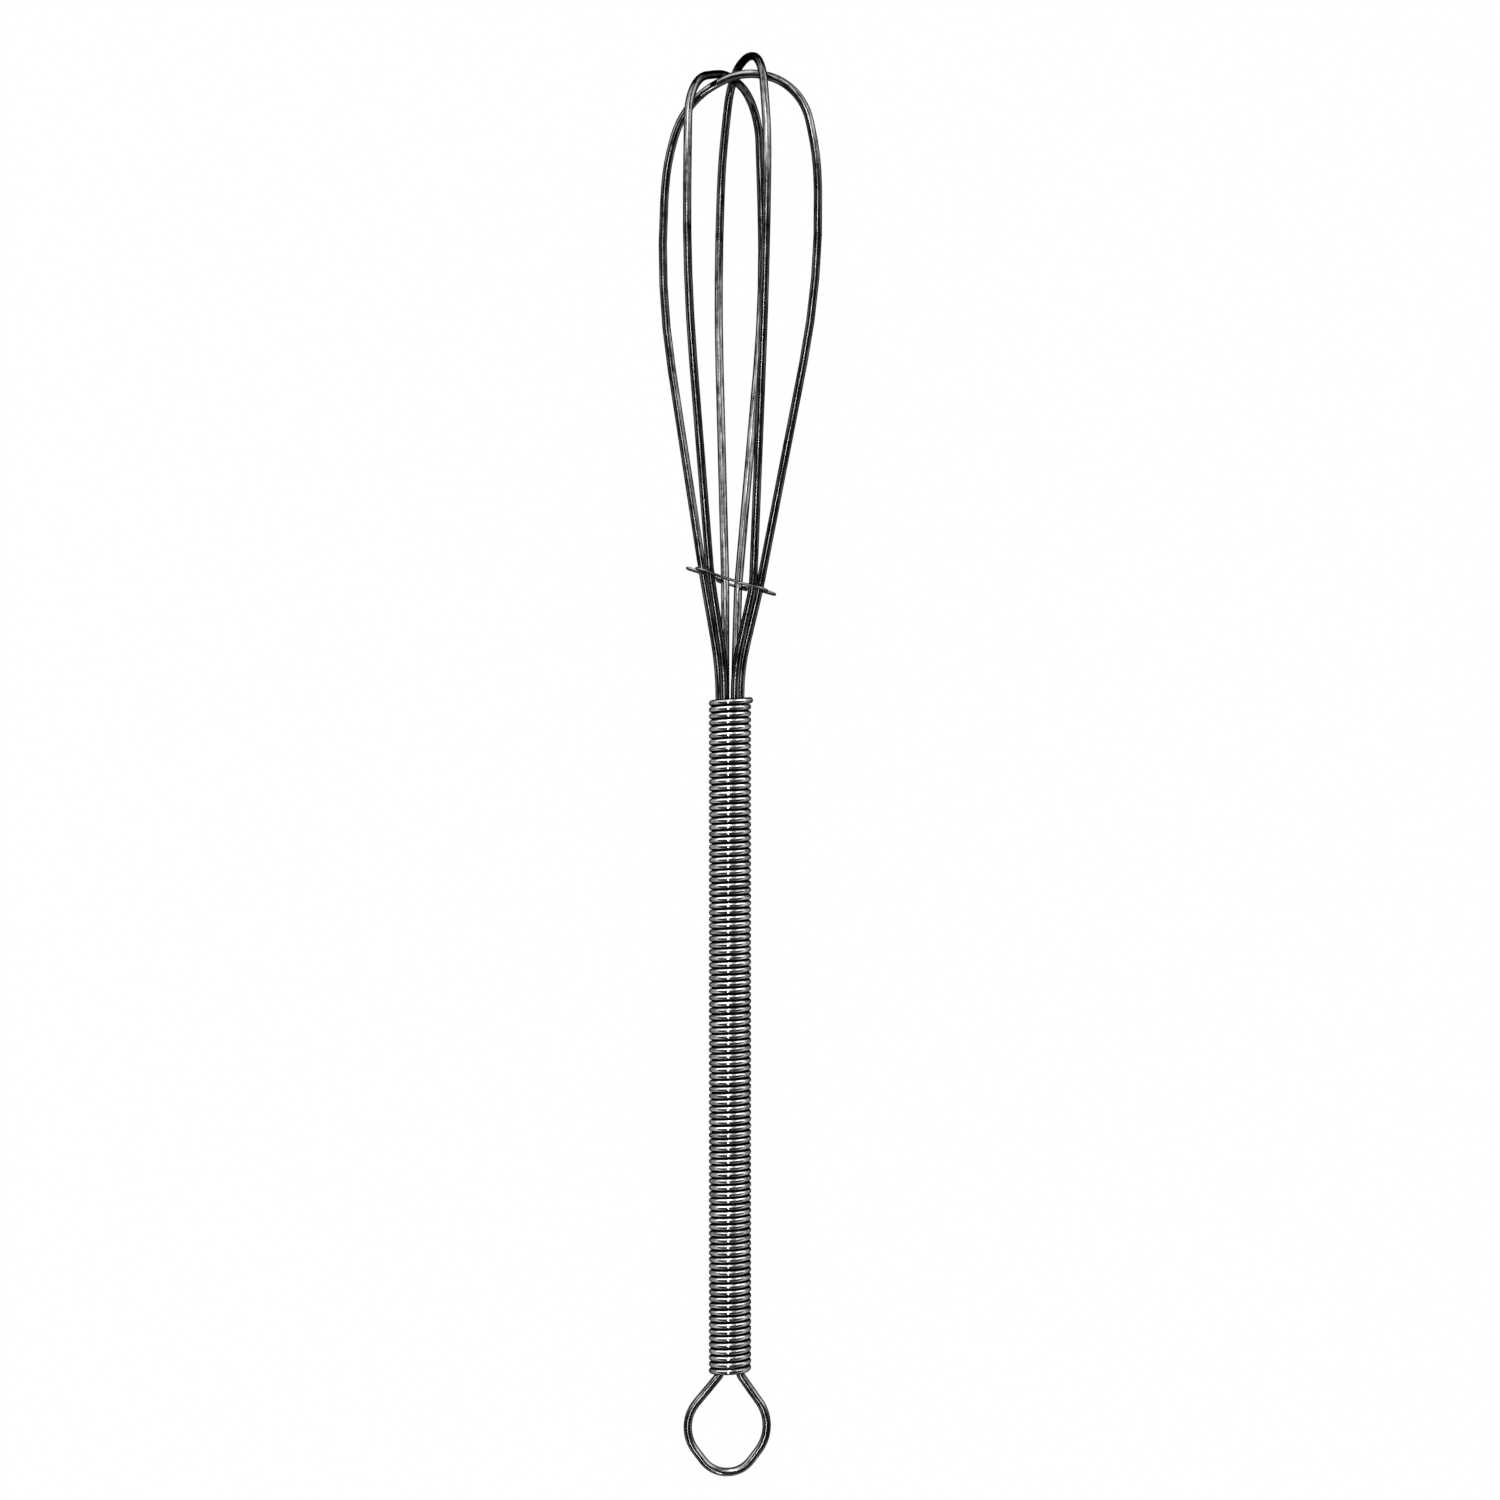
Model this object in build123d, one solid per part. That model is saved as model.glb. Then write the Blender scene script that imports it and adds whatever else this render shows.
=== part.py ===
from build123d import *
from math import cos, radians, sin, tan
import os

os.makedirs("parts", exist_ok=True)

# Sizes are in millimetres and angles in degrees. The whisk is drawn along Y, with the mouth
# of its handle at zero and its tip towards +Y. X is to the right and Z is towards the viewer.
# At the end it is laid down on its two lowest tines and the rim of its butt.

# Wire gauges
tine_wire = 1.2
ring_wire = 1.2
coil_wire = 0.92
binder_wire = 0.42

# Handle: a wound coil round six tine legs, which stand round the long leg of the ring
handle_length = 95.3
coil_turns = 24
bundle_clearance = 0.25
coil_clearance = 0.03
bundle_turn = 2
leg_end_rise = 11.0

# Balloon: three loops, each with a plane angle, a half width and a crown height.
# Their crowns are nested: the low loop's is inside and the top loop's is outside.
loop_names = ["tine_loop_low", "tine_loop_top", "tine_loop_mid"]
loop_angles = [20, 72.5, 117]
loop_half_widths = [11.2, 10.7, 11.15]
loop_crowns = [85.72, 88.54, 86.55]
loop_leans_right = [1.82, 2.3, -0.86]
loop_leans_near = [3.12, -1.49, -2.18]
loop_apex_shifts = [-0.06, 0.59, -1.29]
loop_shoulder_lifts = [0.6, -0.06, 0.09]
flare_height = 3.9
# Places of the bends up one side of a loop, as shares of its half width and crown height.
# The belly is alike in all three, and each loop has a shoulder of its own.
belly_shares = [(1.071, 0.677), (1, 0.876)]
shoulder_shares = [(0.775, 0.984), (0.678, 1.003), (0.955, 0.989)]
apex_height_share = 1.021
# Length of each bend from its corner, as a share of the shorter run beside it
side_bend_shares = [0.3, 0.12, 0.7, 0.375, 0.57]
apex_bend_share = 0.38

# Binder: one thin wire that waves out round each tine, in a plane that leans to the right.
# Between two tines that stand close together it dips only a little.
binder_height = 16.2
binder_lean = 17.4
binder_shift = 0.2
binder_radius = 4.02
binder_nod = 2.5
tine_angles = [14.5, 41, 137.5, 185, 257, 283.5]
close_pair_angle = 35
binder_clearance = 0.17
lobe_reach = 2.2
dip_reach = 0.9
lobe_tip_share = 0.75
binder_end_share = 0.44
foot_bend_share = 0.15
tip_bend_share = 0.4
dip_bend_share = 0.35

# Hanging ring: a drop in the picture's plane, round at its foot, with a long and a short leg
ring_shift = -0.44
ring_shoulder_half = 7.0
ring_shoulder_drop = 7.2
ring_foot_half = 2.1
ring_foot_drop = 13.65
long_leg_recess = 3.0
short_leg = 8.0
kink_rise = 4.2
kink_length = 4.6
ring_bend_shares = [0.3, 0.3, 0.08, 0.53, 0.485, 0.485, 0.53, 0.04]

# Flat sides that stand for the round section of each wire
tine_sides = 12
coil_sides = 4
binder_sides = 4
rest_passes = 6

# Worked out from the sizes above
full_turn = 360
leg_count = len(tine_angles)
bundle_radius = (ring_wire + tine_wire) / 2 + bundle_clearance
bore_radius = bundle_radius + tine_wire / 2 + coil_clearance
coil_radius = bore_radius + coil_wire / 2
coil_pitch = (handle_length - coil_wire) / coil_turns
ring_leg_radius = bore_radius - coil_clearance - ring_wire / 2
lobe_half = tine_wire / 2 + binder_clearance + binder_wire / 2


def bent_path(points, shares):
    """A line through the points, where each corner is an arc as long as its share allows."""
    corners = [Vector(*point) for point in points]
    radii = []
    for before, corner, after, share in zip(corners, corners[1:], corners[2:], shares):
        run = min((corner - before).length, (after - corner).length)
        turn = radians((corner - before).get_angle(after - corner))
        radii.append(share * run / tan(turn / 2))
    return FilletPolyline(*corners, radius=radii)


def wire_along(path, diameter, sides):
    """A wire swept along a path from its first point, with a section of flat sides."""
    start = Plane(origin=path @ 0, z_dir=path % 0)
    section = RegularPolygon(diameter / 2, sides)
    return sweep(start * section, path=path, clean=False)


def around(radius, angle, height):
    """A point at an angle about the Y axis, counted from +X towards +Z."""
    return (radius * cos(radians(angle)), height, radius * sin(radians(angle)))


def on_binder(angle, out, ahead):
    """A point by the tine at an angle, in the leaning plane: farther out, or ahead of it."""
    turn = radians(angle)
    right = (binder_radius + out) * cos(turn) - ahead * sin(turn)
    near = (binder_radius + out) * sin(turn) + ahead * cos(turn)
    height = binder_height - right * tan(radians(binder_lean)) + near * tan(radians(binder_nod))
    return (binder_shift + right, height, near)


def loop_side(index, side):
    """Points up one side of a loop: its leg in the handle, binder, belly and shoulder."""
    slot = index + side * len(loop_names)
    slot_angle = bundle_turn + slot * full_turn / leg_count
    turn = radians(loop_angles[index] + side * full_turn / 2)
    lift = (1 - 2 * side) * loop_shoulder_lifts[index]
    points = [around(bundle_radius, slot_angle, leg_end_rise - handle_length)]
    points.append(around(bundle_radius, slot_angle, flare_height))
    points.append(on_binder(tine_angles[slot], 0, 0))
    for (across, up), raised in zip(belly_shares + [shoulder_shares[index]], (0, 0, lift)):
        x = across * loop_half_widths[index] * cos(turn) + up * loop_leans_right[index]
        z = across * loop_half_widths[index] * sin(turn) + up * loop_leans_near[index]
        points.append((x, up * loop_crowns[index] + raised, z))
    return points


def loop_path(index):
    """One tine loop: up one side, over its apex and down the other side."""
    turn = radians(loop_angles[index])
    x = loop_apex_shifts[index] * cos(turn) + apex_height_share * loop_leans_right[index]
    z = loop_apex_shifts[index] * sin(turn) + apex_height_share * loop_leans_near[index]
    apex = (x, apex_height_share * loop_crowns[index], z)
    points = loop_side(index, 0) + [apex] + loop_side(index, 1)[::-1]
    shares = side_bend_shares + [apex_bend_share] + side_bend_shares[::-1]
    return bent_path(points, shares)


def coil_path():
    """A right-handed helix of quarter-turn arcs, each tangent to the next."""
    quarter = full_turn / 4
    slope = coil_pitch / (8 * coil_radius)
    foot = coil_wire / 2 - handle_length
    arcs = []
    for step in range(4 * coil_turns):
        angle = -quarter * step
        start = around(coil_radius, angle, foot + step * coil_pitch / 4)
        end = around(coil_radius, angle - quarter, foot + (step + 1) * coil_pitch / 4)
        tangent = (sin(radians(angle)), slope, -cos(radians(angle)))
        arcs.append(TangentArc(start, end, tangent=tangent))
    return Wire(arcs)


def least_gap_of_coil(path):
    """The least clear space between turns, measured on points of the coil half a turn on."""
    per_turn = 2 * leg_count
    places = [path @ (step / (per_turn * coil_turns)) for step in range(per_turn * coil_turns)]
    gaps = []
    for number, place in enumerate(places):
        later = places[number + leg_count:number + 2 * per_turn]
        gaps.extend((other - place).length - coil_wire for other in later)
    return min(gaps)


def lobe_points(slot):
    """The binder's corners round one tine, each with its share: foot, tip, tip and foot."""
    angle = tine_angles[slot]
    ahead = (tine_angles[(slot + 1) % leg_count] - angle) % full_turn
    behind = (angle - tine_angles[slot - 1]) % full_turn
    tip = lobe_tip_share * lobe_half
    corners = [
        (on_binder(angle, lobe_reach, -tip), tip_bend_share),
        (on_binder(angle, lobe_reach, tip), tip_bend_share),
    ]
    if behind > close_pair_angle:
        corners.insert(0, (on_binder(angle, -lobe_half, -lobe_half), foot_bend_share))
    if ahead > close_pair_angle:
        corners.append((on_binder(angle, -lobe_half, lobe_half), foot_bend_share))
    else:
        corners.append((on_binder(angle + ahead / 2, dip_reach, 0), dip_bend_share))
    return corners


def binder_path():
    """The binder's route from lobe to lobe, with its two cut ends in a wide space."""
    corners = [corner for slot in range(leg_count) for corner in lobe_points(slot)]
    points = [Vector(*point) for point, share in corners]
    reach = (points[0] - points[-1]) * binder_end_share
    points = [points[0] - reach] + points + [points[-1] + reach]
    return bent_path(points, [share for point, share in corners])


def ring_path():
    """The ring's route: down the middle of the bundle, round the drop and back inside."""
    butt = -handle_length
    shoulder = butt - ring_shoulder_drop
    foot = butt - ring_foot_drop
    points = [
        (0, -long_leg_recess, 0),
        (0, butt + kink_rise + kink_length, 0),
        (-ring_leg_radius, butt + kink_rise, 0),
        (-ring_leg_radius, butt, 0),
        (ring_shift - ring_shoulder_half, shoulder, 0),
        (ring_shift - ring_foot_half, foot, 0),
        (ring_shift + ring_foot_half, foot, 0),
        (ring_shift + ring_shoulder_half, shoulder, 0),
        (ring_leg_radius, butt, 0),
        (ring_leg_radius, butt + short_leg, 0),
    ]
    return bent_path(points, ring_bend_shares)


def points_on(path):
    """Evenly spaced points of a path, close enough to find where it touches the table."""
    count = full_turn
    return [path @ (step / count) for step in range(count + 1)]


def resting_plane(paths):
    """The table's plane, which touches a left tine, a right tine and the foot of the coil."""
    foot_turn = [place for place in points_on(paths["handle_coil"])
                 if place.Y < coil_pitch - handle_length]
    touching = [
        (points_on(paths["tine_loop_top"]), tine_wire / 2),
        (points_on(paths["tine_loop_mid"]), tine_wire / 2),
        (foot_turn, coil_wire / 2),
    ]
    normal = Vector(0, 0, 1)
    for _ in range(rest_passes):
        left, right, butt = [
            min(places, key=normal.dot) - normal * radius for places, radius in touching
        ]
        normal = (right - left).cross(left - butt).normalized()
    return Plane(origin=butt, x_dir=Vector(0, 1, 0).cross(normal), z_dir=normal)


paths = {name: loop_path(index) for index, name in enumerate(loop_names)}
paths["handle_coil"] = coil_path()
paths["tine_binder"] = binder_path()
paths["hanging_ring"] = ring_path()

wires = {name: wire_along(paths[name], tine_wire, tine_sides) for name in loop_names}
wires["handle_coil"] = wire_along(paths["handle_coil"], coil_wire, coil_sides)
wires["tine_binder"] = wire_along(paths["tine_binder"], binder_wire, binder_sides)
wires["hanging_ring"] = wire_along(paths["hanging_ring"], ring_wire, tine_sides)

table = resting_plane(paths)
laid = {name: wire.moved(table.location.inverse()) for name, wire in wires.items()}
bounds = Compound([wire.solid() for wire in laid.values()]).bounding_box()
centre = bounds.center()
to_origin = Location((-centre.X, -centre.Y, -bounds.min.Z))

for name, wire in laid.items():
    export_step(wire.moved(to_origin), f"parts/{name}.step")

print("overall size", bounds.size)
print("least gap of the coil to itself", round(least_gap_of_coil(paths["handle_coil"]), 3))
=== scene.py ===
from math import cos, pi, radians, sin, tan

import bpy
from mathutils import Matrix, Vector


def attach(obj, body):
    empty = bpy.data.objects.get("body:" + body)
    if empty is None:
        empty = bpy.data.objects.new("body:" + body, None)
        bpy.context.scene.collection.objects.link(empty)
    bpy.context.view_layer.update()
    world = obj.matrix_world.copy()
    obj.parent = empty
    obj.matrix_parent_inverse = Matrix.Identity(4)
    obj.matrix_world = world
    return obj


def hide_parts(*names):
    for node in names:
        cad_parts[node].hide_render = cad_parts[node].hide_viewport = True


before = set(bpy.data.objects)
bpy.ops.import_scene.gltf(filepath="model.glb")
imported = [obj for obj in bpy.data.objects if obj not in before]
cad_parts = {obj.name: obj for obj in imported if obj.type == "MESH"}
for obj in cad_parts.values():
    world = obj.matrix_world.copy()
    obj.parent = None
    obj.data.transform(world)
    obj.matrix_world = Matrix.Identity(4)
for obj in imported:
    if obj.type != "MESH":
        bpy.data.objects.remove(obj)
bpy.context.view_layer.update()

# Tine loops
# Three lengths of drawn stainless wire, each bent into a long loop. Their six legs go down
# into the handle, and their crowns pass over each other with a little space between.

mm = 0.001
full_turn = 360

# The whisk lies with its butt on the table, so its axis rises towards the tip and rolls a little
mouth_place = Vector((-1.2752, 9.3644, 8.4703)) * mm
rise_of_axis = 3.3485
roll_of_picture = 2.7439
whisk_place = (
    Matrix.Translation(mouth_place)
    @ Matrix.Rotation(radians(rise_of_axis), 4, "X")
    @ Matrix.Rotation(radians(-roll_of_picture), 4, "Y")
)

tine_wire = 1.2
ring_wire = 1.2
handle_length = 95.3
bundle_clearance = 0.25
bundle_radius = (ring_wire + tine_wire) / 2 + bundle_clearance
bundle_turn = 2
leg_end_rise = 11.0
flare_height = 3.9
tine_sides = 20
tine_step = 0.8

# Each loop's name, plane angle, half width and crown height, then its leans to the right and
# towards the viewer, its apex's shift, its shoulder's lift and its shoulder's place as shares
loops = [
    ("tine_loop_low", 20, 11.2, 85.72, (1.82, 3.12), -0.06, 0.6, (0.775, 0.984)),
    ("tine_loop_top", 72.5, 10.7, 88.54, (2.3, -1.49), 0.59, -0.06, (0.678, 1.003)),
    ("tine_loop_mid", 117, 11.15, 86.55, (-0.86, -2.18), -1.29, 0.09, (0.955, 0.989)),
]

# Places of the bends at the belly and the apex, as shares of half width and crown height, and
# the length of each bend as a share of the shorter run beside it
belly_shares = [(1.071, 0.677), (1, 0.876)]
apex_height_share = 1.021
side_bend_shares = [0.3, 0.12, 0.7, 0.375, 0.57]
apex_bend_share = 0.38

# The plane of the binder, where the tines are spread
binder_height = 16.2
binder_lean = 17.4
binder_nod = 2.5
binder_shift = 0.2
binder_radius = 4.02
tine_angles = [14.5, 41, 137.5, 185, 257, 283.5]

# A bend is drawn in short pieces, each cut end has a small round, and the map along a wire is
# counted in centimetres
fewest_bend_pieces = 4
turn_of_bend_piece = 5
dressing_share = 0.12
mm_per_map_unit = 10


def around(radius, angle, height):
    """A point at an angle about the whisk's axis, counted from the right towards the viewer."""
    return Vector((radius * cos(radians(angle)), height, radius * sin(radians(angle))))


def on_binder(angle, out, ahead):
    """A point by the tine at an angle, in the binder's leaning plane."""
    turn = radians(angle)
    right = (binder_radius + out) * cos(turn) - ahead * sin(turn)
    near = (binder_radius + out) * sin(turn) + ahead * cos(turn)
    height = binder_height - right * tan(radians(binder_lean)) + near * tan(radians(binder_nod))
    return Vector((binder_shift + right, height, near))


def bent_line(corners, shares, step):
    """Points along a wire that is bent at each corner, with arcs as long as the shares allow."""
    line = [corners[0].copy()]
    for before, corner, after, share in zip(corners, corners[1:], corners[2:], shares):
        come = (corner - before).normalized()
        leave = (after - corner).normalized()
        turn = come.angle(leave)
        reach = share * min((corner - before).length, (after - corner).length)
        radius = reach / tan(turn / 2)
        side = (leave - come * leave.dot(come)).normalized()
        start = corner - come * reach
        count = max(fewest_bend_pieces, int(turn / radians(turn_of_bend_piece)))
        for number in range(count + 1):
            angle = turn * number / count
            line.append(start + (come * sin(angle) + side * (1 - cos(angle))) * radius)
    line.append(corners[-1].copy())
    spaced = [line[0]]
    for before, after in zip(line, line[1:]):
        pieces = max(1, round((after - before).length / step))
        spaced.extend(before.lerp(after, number / pieces) for number in range(1, pieces + 1))
    return spaced


def wire_piece(name, line, diameter, sides, outward=None):
    """A round wire along a line, with dressed ends, laid in the whisk's place."""
    ways = [(after - before).normalized() for before, after in zip(line, line[1:])]
    tangents = [ways[0]] + [(a + b).normalized() for a, b in zip(ways, ways[1:])] + [ways[-1]]
    side = tangents[0].orthogonal().normalized()
    if outward:
        side = outward[0]
    rings, along, lengths = [], 0, []
    for number, (place, tangent) in enumerate(zip(line, tangents)):
        if outward:
            side = outward[number]
        side = (side - tangent * side.dot(tangent)).normalized()
        if number:
            along += (place - line[number - 1]).length
        rings.append((place, side.copy(), tangent.cross(side), diameter / 2))
        lengths.append(along)
    dressing = diameter * dressing_share
    for end, way in ((0, -1), (-1, 1)):
        place, side, up, radius = rings[end]
        tip = (place + tangents[end] * dressing * way, side, up, radius - dressing)
        rings.insert(0 if end == 0 else len(rings), tip)
        lengths.insert(0 if end == 0 else len(lengths), lengths[end])
    vertices = []
    for place, side, up, radius in rings:
        for number in range(sides):
            angle = 2 * pi * number / sides
            spot = place + (side * cos(angle) + up * sin(angle)) * radius
            vertices.append(whisk_place @ (spot * mm))
    faces = []
    for row in range(len(rings) - 1):
        for number in range(sides):
            after = (number + 1) % sides
            faces.append((row * sides + number, row * sides + after,
                          (row + 1) * sides + after, (row + 1) * sides + number))
    last = (len(rings) - 1) * sides
    faces.append(tuple(range(sides))[::-1])
    faces.append(tuple(last + number for number in range(sides)))
    mesh = bpy.data.meshes.new(name)
    mesh.from_pydata(vertices, [], faces)
    wire_map = mesh.uv_layers.new(name="wire_map")
    for face_number, polygon in enumerate(mesh.polygons):
        row, number = divmod(face_number, sides)
        on_side = row < len(rings) - 1
        polygon.use_smooth = on_side
        for corner, loop in enumerate(polygon.loop_indices):
            spot = (0, 0)
            if on_side:
                across = (number + (corner in (1, 2))) / sides
                run = lengths[row + (corner in (2, 3))]
                spot = (across, run / mm_per_map_unit)
            wire_map.data[loop].uv = spot
    mesh.update()
    piece = bpy.data.objects.new(name, mesh)
    bpy.context.scene.collection.objects.link(piece)
    return piece


def feed(tree, socket, value):
    """Set a socket to a number, or link it to another node's result."""
    if isinstance(value, (int, float)):
        socket.default_value = value
    else:
        tree.links.new(value, socket)


def maths(tree, operation, *values):
    """The result of a sum on numbers or other nodes' results."""
    node = tree.nodes.new("ShaderNodeMath")
    node.operation = operation
    for socket, value in zip(node.inputs, values):
        feed(tree, socket, value)
    return node.outputs[0]


def spread_between(tree, value, limits, levels=(0, 1), kind="LINEAR"):
    """A value's place between two limits, spread out between two levels."""
    node = tree.nodes.new("ShaderNodeMapRange")
    node.interpolation_type = kind
    feed(tree, node.inputs["Value"], value)
    for name, number in zip(("From Min", "From Max", "To Min", "To Max"), (*limits, *levels)):
        feed(tree, node.inputs[name], number)
    return node.outputs[0]


def mixed(tree, share, first, second):
    """A colour between two others."""
    node = tree.nodes.new("ShaderNodeMix")
    node.data_type = "RGBA"
    for socket, value in zip((node.inputs[0], node.inputs[6], node.inputs[7]),
                             (share, first, second)):
        tree.links.new(value, socket)
    return node.outputs[2]


# The skin of drawn wire: how fine its lines, patches and nicks are, and how much each one shows
line_detail = 3
line_limits = (0.4, 0.68)
patch_detail = 4
patch_crumble = 0.6
patch_limits = (0.38, 0.62)
nicks_per_metre = 900
nick_limits = (0, 0.035)
line_shade = 0.75
patch_shade = 0.25
nick_shade = 0.35
patch_dulling = 0.7
line_dulling = 0.3
line_height = 0.6
nick_depth = 0.8

# How far a face has to look up to stay clear of the painted shade on the sides, and how far it
# has to look outward from the handle to stay clear of the painted shade between two turns
side_shade_limits = (0.6, 0.84)
turn_shade_limits = (0.76, 0.9)


def drawn_wire_group():
    """The skin of drawn wire: fine lines along it, dull patches, scuffs, and painted shade on
    the sides and between turns.
    """
    group = bpy.data.node_groups.new("drawn_wire", "ShaderNodeTree")
    sockets = group.interface.new_socket
    for name in ("Lines Round Wire", "Line Length", "Patch Size", "Bright Roughness",
                 "Dull Roughness", "Scuffs", "Painted Side Shade", "Painted Shade Between Turns"):
        sockets(name=name, in_out="INPUT", socket_type="NodeSocketFloat")
    for name in ("Bright", "Dark", "Painted Shade Colour"):
        sockets(name=name, in_out="INPUT", socket_type="NodeSocketColor")
    sockets(name="Color", in_out="OUTPUT", socket_type="NodeSocketColor")
    sockets(name="Roughness", in_out="OUTPUT", socket_type="NodeSocketFloat")
    sockets(name="Height", in_out="OUTPUT", socket_type="NodeSocketFloat")
    nodes, link = group.nodes, group.links.new
    given = nodes.new("NodeGroupInput").outputs
    outputs = nodes.new("NodeGroupOutput")
    wire_map = nodes.new("ShaderNodeUVMap")
    wire_map.uv_map = "wire_map"
    split = nodes.new("ShaderNodeSeparateXYZ")
    link(wire_map.outputs["UV"], split.inputs[0])

    # The map closes on itself round the wire, as a circle, so no seam shows
    angle = maths(group, "MULTIPLY", split.outputs[0], 2 * pi)
    outward = maths(group, "COSINE", angle)
    spread = maths(group, "DIVIDE", given["Lines Round Wire"], 2 * pi)
    circle = nodes.new("ShaderNodeCombineXYZ")
    link(maths(group, "MULTIPLY", outward, spread), circle.inputs[0])
    link(maths(group, "MULTIPLY", maths(group, "SINE", angle), spread), circle.inputs[1])
    link(maths(group, "DIVIDE", split.outputs[1], given["Line Length"]), circle.inputs[2])
    lines = nodes.new("ShaderNodeTexNoise")
    lines.inputs["Scale"].default_value = 1
    lines.inputs["Detail"].default_value = line_detail
    link(circle.outputs[0], lines.inputs["Vector"])
    line = spread_between(group, lines.outputs["Fac"], line_limits)

    # Dull patches, where the polish is uneven, sit in the wire's own space
    place = nodes.new("ShaderNodeTexCoord")
    patches = nodes.new("ShaderNodeTexNoise")
    patches.inputs["Detail"].default_value = patch_detail
    patches.inputs["Roughness"].default_value = patch_crumble
    link(place.outputs["Object"], patches.inputs["Vector"])
    link(maths(group, "DIVIDE", 1 / mm, given["Patch Size"]), patches.inputs["Scale"])
    patch = spread_between(group, patches.outputs["Fac"], patch_limits)

    # Scuffs: short dark nicks from use
    scuffs = nodes.new("ShaderNodeTexVoronoi")
    scuffs.feature = "DISTANCE_TO_EDGE"
    scuffs.inputs["Scale"].default_value = nicks_per_metre
    link(place.outputs["Object"], scuffs.inputs["Vector"])
    nick = spread_between(group, scuffs.outputs["Distance"], nick_limits, (1, 0))
    nicks = maths(group, "MULTIPLY", nick, given["Scuffs"])

    # Painted shade: faces that don't look up are darkened, and so are faces between tight turns
    facing = nodes.new("ShaderNodeSeparateXYZ")
    link(place.outputs["Normal"], facing.inputs[0])
    sides = spread_between(group, facing.outputs[2], side_shade_limits, (1, 0), "SMOOTHSTEP")
    # Painted shade between turns: faces that look away from the outside of the handle are
    # darkened
    shade_between_turns = spread_between(group, outward, turn_shade_limits, (1, 0), "SMOOTHSTEP")
    shade_share = maths(group, "MAXIMUM",
                      maths(group, "MULTIPLY", sides, given["Painted Side Shade"]),
                      maths(group, "MULTIPLY", shade_between_turns, given["Painted Shade Between Turns"]))

    tone = maths(group, "ADD", maths(group, "MULTIPLY", line, line_shade),
                 maths(group, "MULTIPLY", patch, patch_shade))
    tone = maths(group, "SUBTRACT", tone, maths(group, "MULTIPLY", nicks, nick_shade))
    clean = mixed(group, tone, given["Dark"], given["Bright"])
    link(mixed(group, shade_share, clean, given["Painted Shade Colour"]), outputs.inputs["Color"])

    dull = maths(group, "ADD", maths(group, "MULTIPLY", patch, patch_dulling),
                 maths(group, "MULTIPLY", line, line_dulling))
    roughness = (given["Bright Roughness"], given["Dull Roughness"])
    link(spread_between(group, dull, (0, 1), roughness), outputs.inputs["Roughness"])
    height = maths(group, "SUBTRACT", maths(group, "MULTIPLY", line, line_height),
                   maths(group, "MULTIPLY", nicks, nick_depth))
    link(height, outputs.inputs["Height"])
    return group


drawn_wire = drawn_wire_group()
blue_of_steel = 1.02


def steel(name, bright, dark, painted_shade, edge, relief_depth, settings):
    """Polished steel wire: the shader with the drawn wire's skin on it."""
    material = bpy.data.materials.new(name)
    material.use_nodes = True
    nodes, link = material.node_tree.nodes, material.node_tree.links.new
    shader = nodes["Principled BSDF"]
    shader.inputs["Metallic"].default_value = 1
    shader.inputs["Specular Tint"].default_value = (edge, edge, edge, 1)
    skin = nodes.new("ShaderNodeGroup")
    skin.node_tree = drawn_wire
    # The third colour is painted shade, laid on faces that don't look up and between tight turns
    for socket, shade in (("Bright", bright), ("Dark", dark), ("Painted Shade Colour", painted_shade)):
        skin.inputs[socket].default_value = (shade, shade, shade * blue_of_steel, 1)
    for socket, value in settings.items():
        skin.inputs[socket].default_value = value
    relief = nodes.new("ShaderNodeBump")
    relief.inputs["Strength"].default_value = 1
    relief.inputs["Distance"].default_value = relief_depth * mm
    link(skin.outputs["Color"], shader.inputs["Base Color"])
    link(skin.outputs["Roughness"], shader.inputs["Roughness"])
    link(skin.outputs["Height"], relief.inputs["Height"])
    link(relief.outputs["Normal"], shader.inputs["Normal"])
    return material


def loop_corners(index):
    """The corners of one loop: up one side, over its apex and down the other side."""
    name, plane, half_width, crown, leans, shift, shoulder_lift, shoulder = loops[index]
    lean_right, lean_near = leans
    sides = []
    for side in (0, 1):
        slot = index + side * len(loops)
        turn = radians(plane + side * full_turn / 2)
        slot_angle = bundle_turn + slot * full_turn / len(tine_angles)
        points = [around(bundle_radius, slot_angle, leg_end_rise - handle_length)]
        points.append(around(bundle_radius, slot_angle, flare_height))
        points.append(on_binder(tine_angles[slot], 0, 0))
        lifts = (0, 0, (1 - 2 * side) * shoulder_lift)
        for (across, up), lift in zip(belly_shares + [shoulder], lifts):
            x = across * half_width * cos(turn) + up * lean_right
            z = across * half_width * sin(turn) + up * lean_near
            points.append(Vector((x, up * crown + lift, z)))
        sides.append(points)
    turn = radians(plane)
    x = shift * cos(turn) + apex_height_share * lean_right
    z = shift * sin(turn) + apex_height_share * lean_near
    apex = Vector((x, apex_height_share * crown, z))
    return sides[0] + [apex] + sides[1][::-1]


tine_steel = steel(
    "tine_steel", bright=0.3, dark=0.012, painted_shade=0.004, edge=0.05, relief_depth=0.0015,
    settings={
        "Lines Round Wire": 15, "Line Length": 0.4, "Patch Size": 1.4, "Bright Roughness": 0.05,
        "Dull Roughness": 0.14, "Scuffs": 0.4, "Painted Side Shade": 0.55,
    })

for index, loop in enumerate(loops):
    shares = side_bend_shares + [apex_bend_share] + side_bend_shares[::-1]
    line = bent_line(loop_corners(index), shares, tine_step)
    tine = wire_piece(loop[0] + "_wire", line, tine_wire, tine_sides)
    tine.data.materials.append(tine_steel)
    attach(tine, "root")
    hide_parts(loop[0])

# Binder
# One thin bright wire that waves out round each tine, a little above the handle. It is pinched
# between the tines, and its two cut ends meet on the far side.

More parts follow.
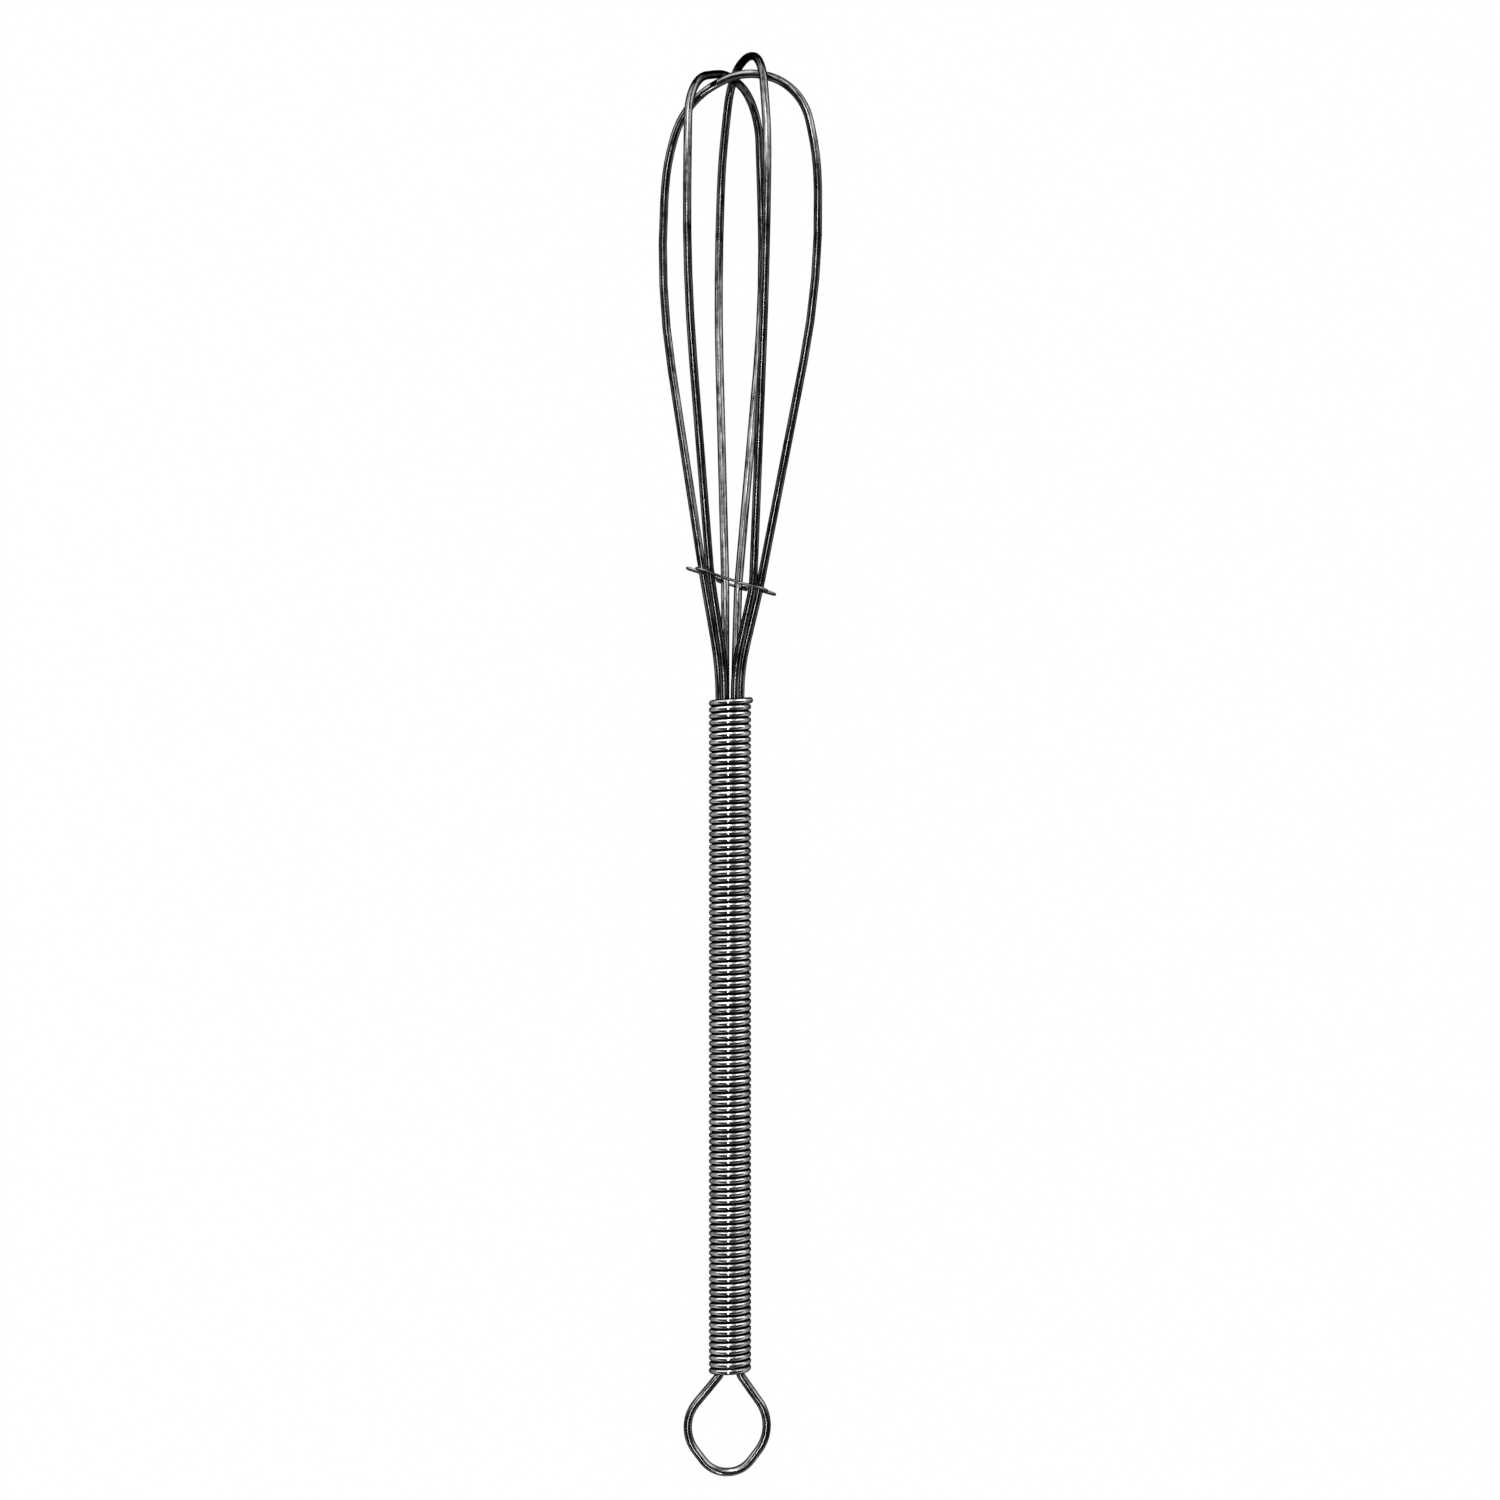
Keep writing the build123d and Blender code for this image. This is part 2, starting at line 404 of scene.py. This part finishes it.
binder_wire = 0.42
binder_clearance = 0.17
lobe_half = tine_wire / 2 + binder_clearance + binder_wire / 2
lobe_tip_share = 0.75
lobe_tip = lobe_tip_share * lobe_half
lobe_reach = 2.2
dip_reach = 0.9
close_pair_angle = 35
binder_end_share = 0.44
foot_bend_share = 0.15
tip_bend_share = 0.4
dip_bend_share = 0.35
binder_step = 0.3
binder_sides = 14

binder_corners, binder_shares = [], []
for slot, angle in enumerate(tine_angles):
    ahead = (tine_angles[(slot + 1) % len(tine_angles)] - angle) % full_turn
    behind = (angle - tine_angles[slot - 1]) % full_turn
    if behind > close_pair_angle:
        binder_corners.append(on_binder(angle, -lobe_half, -lobe_half))
        binder_shares.append(foot_bend_share)
    for tip in (-lobe_tip, lobe_tip):
        binder_corners.append(on_binder(angle, lobe_reach, tip))
        binder_shares.append(tip_bend_share)
    if ahead > close_pair_angle:
        binder_corners.append(on_binder(angle, -lobe_half, lobe_half))
        binder_shares.append(foot_bend_share)
    else:
        binder_corners.append(on_binder(angle + ahead / 2, dip_reach, 0))
        binder_shares.append(dip_bend_share)
reach = (binder_corners[0] - binder_corners[-1]) * binder_end_share
binder_corners = [binder_corners[0] - reach] + binder_corners + [binder_corners[-1] + reach]

binder_steel = steel(
    "binder_steel", bright=0.3, dark=0.02, painted_shade=0.005, edge=0.1, relief_depth=0.003,
    settings={
        "Lines Round Wire": 16, "Line Length": 0.3, "Patch Size": 1.2, "Bright Roughness": 0.16,
        "Dull Roughness": 0.38, "Scuffs": 0.5, "Painted Side Shade": 0.6,
    })

binder_line = bent_line(binder_corners, binder_shares, binder_step)
binder = wire_piece("tine_binder_wire", binder_line, binder_wire, binder_sides)
binder.data.materials.append(binder_steel)
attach(binder, "root")
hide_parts("tine_binder")

# Hanging ring
# One wire of the tines' gauge, bent to the shape of a drop below the butt. Its long leg runs up
# the middle of the bundle, and its short one holds the other side inside the coil.

ring_shift = -0.44
ring_shoulder_half = 7.0
ring_shoulder_drop = 7.2
ring_foot_half = 2.1
ring_foot_drop = 13.65
long_leg_recess = 3.0
short_leg = 8.0
kink_rise = 4.2
kink_length = 4.6
ring_leg_radius = bundle_radius + tine_wire / 2 - ring_wire / 2
butt = -handle_length

ring_corners = [
    Vector((0, -long_leg_recess, 0)),
    Vector((0, butt + kink_rise + kink_length, 0)),
    Vector((-ring_leg_radius, butt + kink_rise, 0)),
    Vector((-ring_leg_radius, butt, 0)),
    Vector((ring_shift - ring_shoulder_half, butt - ring_shoulder_drop, 0)),
    Vector((ring_shift - ring_foot_half, butt - ring_foot_drop, 0)),
    Vector((ring_shift + ring_foot_half, butt - ring_foot_drop, 0)),
    Vector((ring_shift + ring_shoulder_half, butt - ring_shoulder_drop, 0)),
    Vector((ring_leg_radius, butt, 0)),
    Vector((ring_leg_radius, butt + short_leg, 0)),
]
ring_shares = [0.3, 0.3, 0.08, 0.53, 0.485, 0.485, 0.53, 0.04]

ring_steel = steel(
    "ring_steel", bright=0.33, dark=0.02, painted_shade=0.004, edge=0.05, relief_depth=0.0015,
    settings={
        "Lines Round Wire": 15, "Line Length": 0.4, "Patch Size": 1.4, "Bright Roughness": 0.05,
        "Dull Roughness": 0.14, "Scuffs": 0.5, "Painted Side Shade": 0.55,
    })

ring_line = bent_line(ring_corners, ring_shares, tine_step)
ring = wire_piece("hanging_ring_wire", ring_line, ring_wire, tine_sides)
ring.data.materials.append(ring_steel)
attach(ring, "root")
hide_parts("hanging_ring")

# Handle coil
# One wire wound tightly round the legs from butt to mouth, each turn against the last. Its top
# end stands a little proud at the right, where it was cut off.

# The wire is drawn a hair thinner than its gauge, so that no turn cuts into the next
coil_gauge = 0.92
coil_wire = 0.915
coil_turns = 102.7
coil_clearance = 0.03
coil_inside = bundle_radius + tine_wire / 2 + coil_clearance
coil_radius = coil_inside + coil_gauge / 2
coil_pitch = (handle_length - coil_wire) / coil_turns
steps_per_turn = 44
last_step = round(coil_turns * steps_per_turn)
proud_steps = 7
proud_rise = 0.28
coil_sides = 12

coil_line, coil_outward = [], []
for step in range(last_step + 1):
    left = last_step - step
    angle = left * full_turn / steps_per_turn
    proud = proud_rise * max(0, 1 - left / proud_steps) ** 2
    height = -coil_wire / 2 - left * coil_pitch / steps_per_turn
    coil_line.append(around(coil_radius + proud, angle, height))
    coil_outward.append(around(1, angle, 0))

# The coil gets painted shade between its turns, and on its sides like the other wires
coil_steel = steel(
    "coil_steel", bright=0.95, dark=0.2, painted_shade=0.004, edge=0.1, relief_depth=0.003,
    settings={
        "Lines Round Wire": 18, "Line Length": 0.35, "Patch Size": 1.3, "Bright Roughness": 0.08,
        "Dull Roughness": 0.16, "Scuffs": 0.6, "Painted Side Shade": 0.5,
        "Painted Shade Between Turns": 0.95,
    })

coil = wire_piece("handle_coil_wire", coil_line, coil_wire, coil_sides, coil_outward)
coil.data.materials.append(coil_steel)
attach(coil, "root")
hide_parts("handle_coil")

# Floor
# A plain white table, wide enough for every view. It looks white to the camera and in the
# steel, and keeps a faint shadow of the wires.

floor_half = 3.0
table_white = 0.86
table_roughness = 0.8
table_shine = 0.1
glow_share = 0.99

floor_corners = [(-floor_half, -floor_half, 0), (floor_half, -floor_half, 0),
                 (floor_half, floor_half, 0), (-floor_half, floor_half, 0)]
floor_mesh = bpy.data.meshes.new("white_table")
floor_mesh.from_pydata(floor_corners, [], [(0, 1, 2, 3)])
floor = bpy.data.objects.new("white_table", floor_mesh)
bpy.context.scene.collection.objects.link(floor)

white_table = bpy.data.materials.new("white_table")
white_table.use_nodes = True
table_tree = white_table.node_tree
table_shader = table_tree.nodes["Principled BSDF"]
table_shader.inputs["Base Color"].default_value = (table_white, table_white, table_white, 1)
table_shader.inputs["Roughness"].default_value = table_roughness
table_shader.inputs["Specular IOR Level"].default_value = table_shine
glow = table_tree.nodes.new("ShaderNodeEmission")
glow.inputs["Color"].default_value = (1, 1, 1, 1)
rays = table_tree.nodes.new("ShaderNodeLightPath").outputs
seen = maths(table_tree, "MAXIMUM", rays["Is Camera Ray"], rays["Is Glossy Ray"])
seen = maths(table_tree, "MAXIMUM", seen, rays["Is Transmission Ray"])
blend = table_tree.nodes.new("ShaderNodeMixShader")
feed(table_tree, blend.inputs[0], maths(table_tree, "MULTIPLY", seen, glow_share))
feed(table_tree, blend.inputs[1], table_shader.outputs[0])
feed(table_tree, blend.inputs[2], glow.outputs[0])
feed(table_tree, table_tree.nodes["Material Output"].inputs["Surface"], blend.outputs[0])
floor_mesh.materials.append(white_table)

# Light
# A long strip lamp hangs above, a little to the left, and draws the bright seam down the coil
# and the thin line on each tine. The rest comes from a room with a pale wall beyond the tip.

strip_width = 0.06
strip_length = 3.2
strip_power = 10
strip_place = (-0.22, 0, 1.0)

strip = bpy.data.lights.new("strip_above", "AREA")
strip.shape = "RECTANGLE"
strip.size = strip_width
strip.size_y = strip_length
strip.energy = strip_power
strip_above = bpy.data.objects.new("strip_above", strip)
strip_above.location = strip_place
bpy.context.scene.collection.objects.link(strip_above)

# The room's parts lie between shares of the direction towards the tip, the right or the top,
# and each has its own strength
wall_limits = (0.14, 0.3)
wall_strength = 2.5
doorway_middle = 0.26
doorway_half = 0.18
doorway_share = 0.3
ceiling_limits = (-0.14, 0.04)
ceiling_strengths = (0.06, 0.12)
cove_limits = (0.21, 0.25)
cove_strength = 1

world = bpy.data.worlds.new("pale_room")
bpy.context.scene.world = world
world.use_nodes = True
room_tree = world.node_tree
room = room_tree.nodes["Background"]
room.inputs["Color"].default_value = (1, 1, 1, 1)
direction = room_tree.nodes.new("ShaderNodeTexCoord")
towards = room_tree.nodes.new("ShaderNodeSeparateXYZ")
feed(room_tree, towards.inputs[0], direction.outputs["Generated"])
to_right, to_tip, to_top = towards.outputs

# The wall lights the upper side of every turn, except where its darker doorway shows
pale_wall = spread_between(room_tree, to_tip, wall_limits, (0, wall_strength), "SMOOTHSTEP")
from_doorway = maths(room_tree, "COMPARE", to_right, doorway_middle, doorway_half)
doorway = spread_between(room_tree, from_doorway, (0, 1), (1, doorway_share))
wall_with_doorway = maths(room_tree, "MULTIPLY", pale_wall, doorway)
grey_ceiling = spread_between(room_tree, to_tip, ceiling_limits, ceiling_strengths, "SMOOTHSTEP")
high_room = maths(room_tree, "ADD", wall_with_doorway, grey_ceiling)

# A low white cove stands all round the table, behind the whisk in every level view
from_level = maths(room_tree, "ABSOLUTE", to_top)
white_cove = spread_between(room_tree, from_level, cove_limits, (cove_strength, 0), "SMOOTHSTEP")
room_strength = maths(room_tree, "MAXIMUM", high_room, white_cove)
feed(room_tree, room.inputs["Strength"], room_strength)

# Camera
# Square on to the whisk and above it, at the distance that spreads the near and far sides of
# the loops as in the picture.

picture_lens = 84
sensor_width = 36
nearest_seen = 0.01
farthest_seen = 20
camera_place = Vector((2.81, -7.46, 492)) * mm

camera = bpy.data.cameras.new("picture_camera")
camera.lens = picture_lens
camera.sensor_width = sensor_width
camera.clip_start = nearest_seen
camera.clip_end = farthest_seen
picture_camera = bpy.data.objects.new("picture_camera", camera)
bpy.context.scene.collection.objects.link(picture_camera)
picture_camera.matrix_world = whisk_place @ Matrix.Translation(camera_place)
bpy.context.scene.camera = picture_camera
bpy.context.scene.view_settings.view_transform = "Standard"
